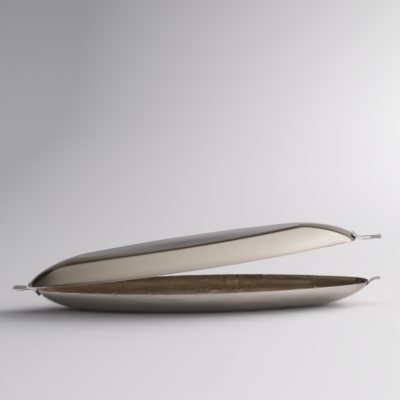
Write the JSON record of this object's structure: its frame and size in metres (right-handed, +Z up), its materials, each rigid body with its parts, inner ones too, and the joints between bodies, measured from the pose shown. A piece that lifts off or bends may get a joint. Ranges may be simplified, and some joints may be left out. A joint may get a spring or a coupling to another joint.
{
  "type": "fish poacher",
  "caption": "Long pointed-oval stainless fish poacher: two like half shells with end tabs that hook the lid open, over a lift-out slotted rack.",
  "frame": {"origin": "middle of the flat underside of the bowl, on the surface it stands on", "axes": "+X along the bowl towards its hook tongue, +Z up out of the bowl; the lid opens at the +X end"},
  "size_m": [0.5694, 0.1598, 0.1263],
  "materials": {
    "shell_steel": "satin, lightly polished lengthwise",
    "strip_steel": "satin strip with sheared edges",
    "rack_steel": "satin, punched and welded"
  },
  "bodies": {
    "bowl": {"bowl_shell": "shell_steel", "bowl_slotted_tab": "strip_steel", "bowl_hook_tongue": "strip_steel"},
    "lid": {"lid_shell": "shell_steel", "lid_slotted_tab": "strip_steel", "lid_hook_tongue": "strip_steel"},
    "rack": {"rack_plate": "rack_steel", "rack_loop_left": "rack_steel", "rack_loop_right": "rack_steel"}
  },
  "joints": [
    {"name": "lid_tilt", "type": "hinge", "parent": "bowl", "child": "lid", "pos_m": [-0.28057, 0, -0.05883], "axis": [0, -1, 0], "range_deg": [-7.05, 0]},
    {"name": "rack_lift", "type": "slide", "parent": "bowl", "child": "rack", "axis": [0, 0, 1], "range_m": [0, 0.035]}
  ]
}
